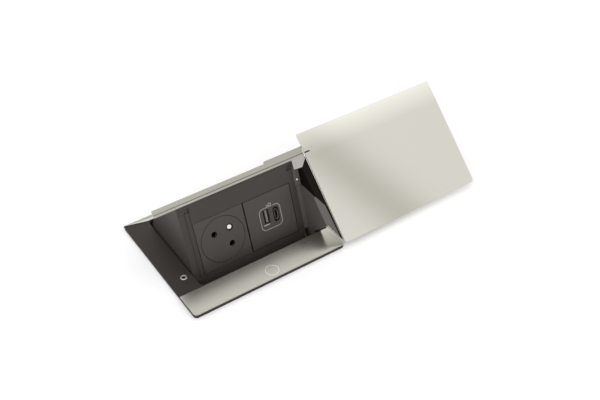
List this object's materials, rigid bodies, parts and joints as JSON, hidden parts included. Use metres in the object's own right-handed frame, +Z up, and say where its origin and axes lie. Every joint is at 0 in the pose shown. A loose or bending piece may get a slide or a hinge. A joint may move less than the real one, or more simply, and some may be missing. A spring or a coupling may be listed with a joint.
{
  "type": "in-desk power module",
  "caption": "Flush desk power module: a brushed lid slides aside from a spring-up unit with an earthed socket and a two-port charger.",
  "frame": {"origin": "centre of the desk cut-out, on the top of the desk", "axes": "+X along the front strip towards the side the lid slides to, +Y from the front strip to the back, +Z up out of the desk"},
  "size_m": [0.28, 0.1239, 0.1665],
  "materials": {
    "frame_plastic": "fine-grained dark grey moulding",
    "unit_plastic": "fine-grained dark grey moulding",
    "module_plastic": "smooth dark grey moulding",
    "wall_grey": "dark grey moulding",
    "seal_black": "black, matt",
    "tongue_light": "light grey, satin",
    "brushed_metal": "brushed along the front strip",
    "bright_steel": "bright, smooth",
    "zinc": "zinc plated",
    "nickel": "nickel plated",
    "contact_brass": "plain",
    "board_green": "circuit board"
  },
  "bodies": {
    "frame": {"flange_frame": "frame_plastic", "tub": "frame_plastic", "front_trim": "brushed_metal", "rear_trim": "brushed_metal", "clamp_screw": "zinc", "cable_gland": "frame_plastic", "pivot_pins": "zinc"},
    "clamp": {"clamp_jaw": "frame_plastic"},
    "unit": {"carrier": "unit_plastic", "rear_cover": "brushed_metal", "end_wall": "wall_grey", "side_seal": "seal_black", "rail_bracket": "bright_steel", "bezel_screw": "nickel", "socket_cover": "module_plastic", "socket_core": "module_plastic", "earth_pin": "nickel", "contacts": "contact_brass", "usb_cover": "module_plastic", "usb_a_shell": "nickel", "usb_a_tongue": "tongue_light", "usb_c_shell": "nickel", "usb_c_tongue": "seal_black", "usb_board": "board_green", "usb_case": "module_plastic"},
    "disc": {"socket_disc": "module_plastic"},
    "link": {"slide_link": "brushed_metal"},
    "lid": {"lid": "brushed_metal"}
  },
  "joints": [
    {"name": "unit_flip", "type": "hinge", "parent": "frame", "child": "unit", "pos_m": [0, -0.0512, -0.0293], "axis": [1, 0, 0], "range_deg": [-42.3, 0], "stiffness_Nm_per_rad": 0.3, "springref_deg": 68.75},
    {"name": "lid_slide", "type": "slide", "parent": "unit", "child": "lid", "axis": [1, 0, 0], "range_m": [-0.14, 0]},
    {"name": "link_slide", "type": "slide", "parent": "unit", "child": "link", "axis": [1, 0, 0], "range_m": [-0.07, 0]},
    {"name": "disc_push", "type": "slide", "parent": "unit", "child": "disc", "axis": [0, -0.9466, 0.3223], "range_m": [-0.01, 0], "stiffness_N_per_m": 400},
    {"name": "clamp_turn", "type": "hinge", "parent": "frame", "child": "clamp", "pos_m": [-0.0566, -0.0186, -0.023], "axis": [0, 0, 1], "range_deg": [0, 90]}
  ],
  "couplings": [
    {"joint": "link_slide", "follows": "lid_slide", "ratio": 0.5}
  ]
}
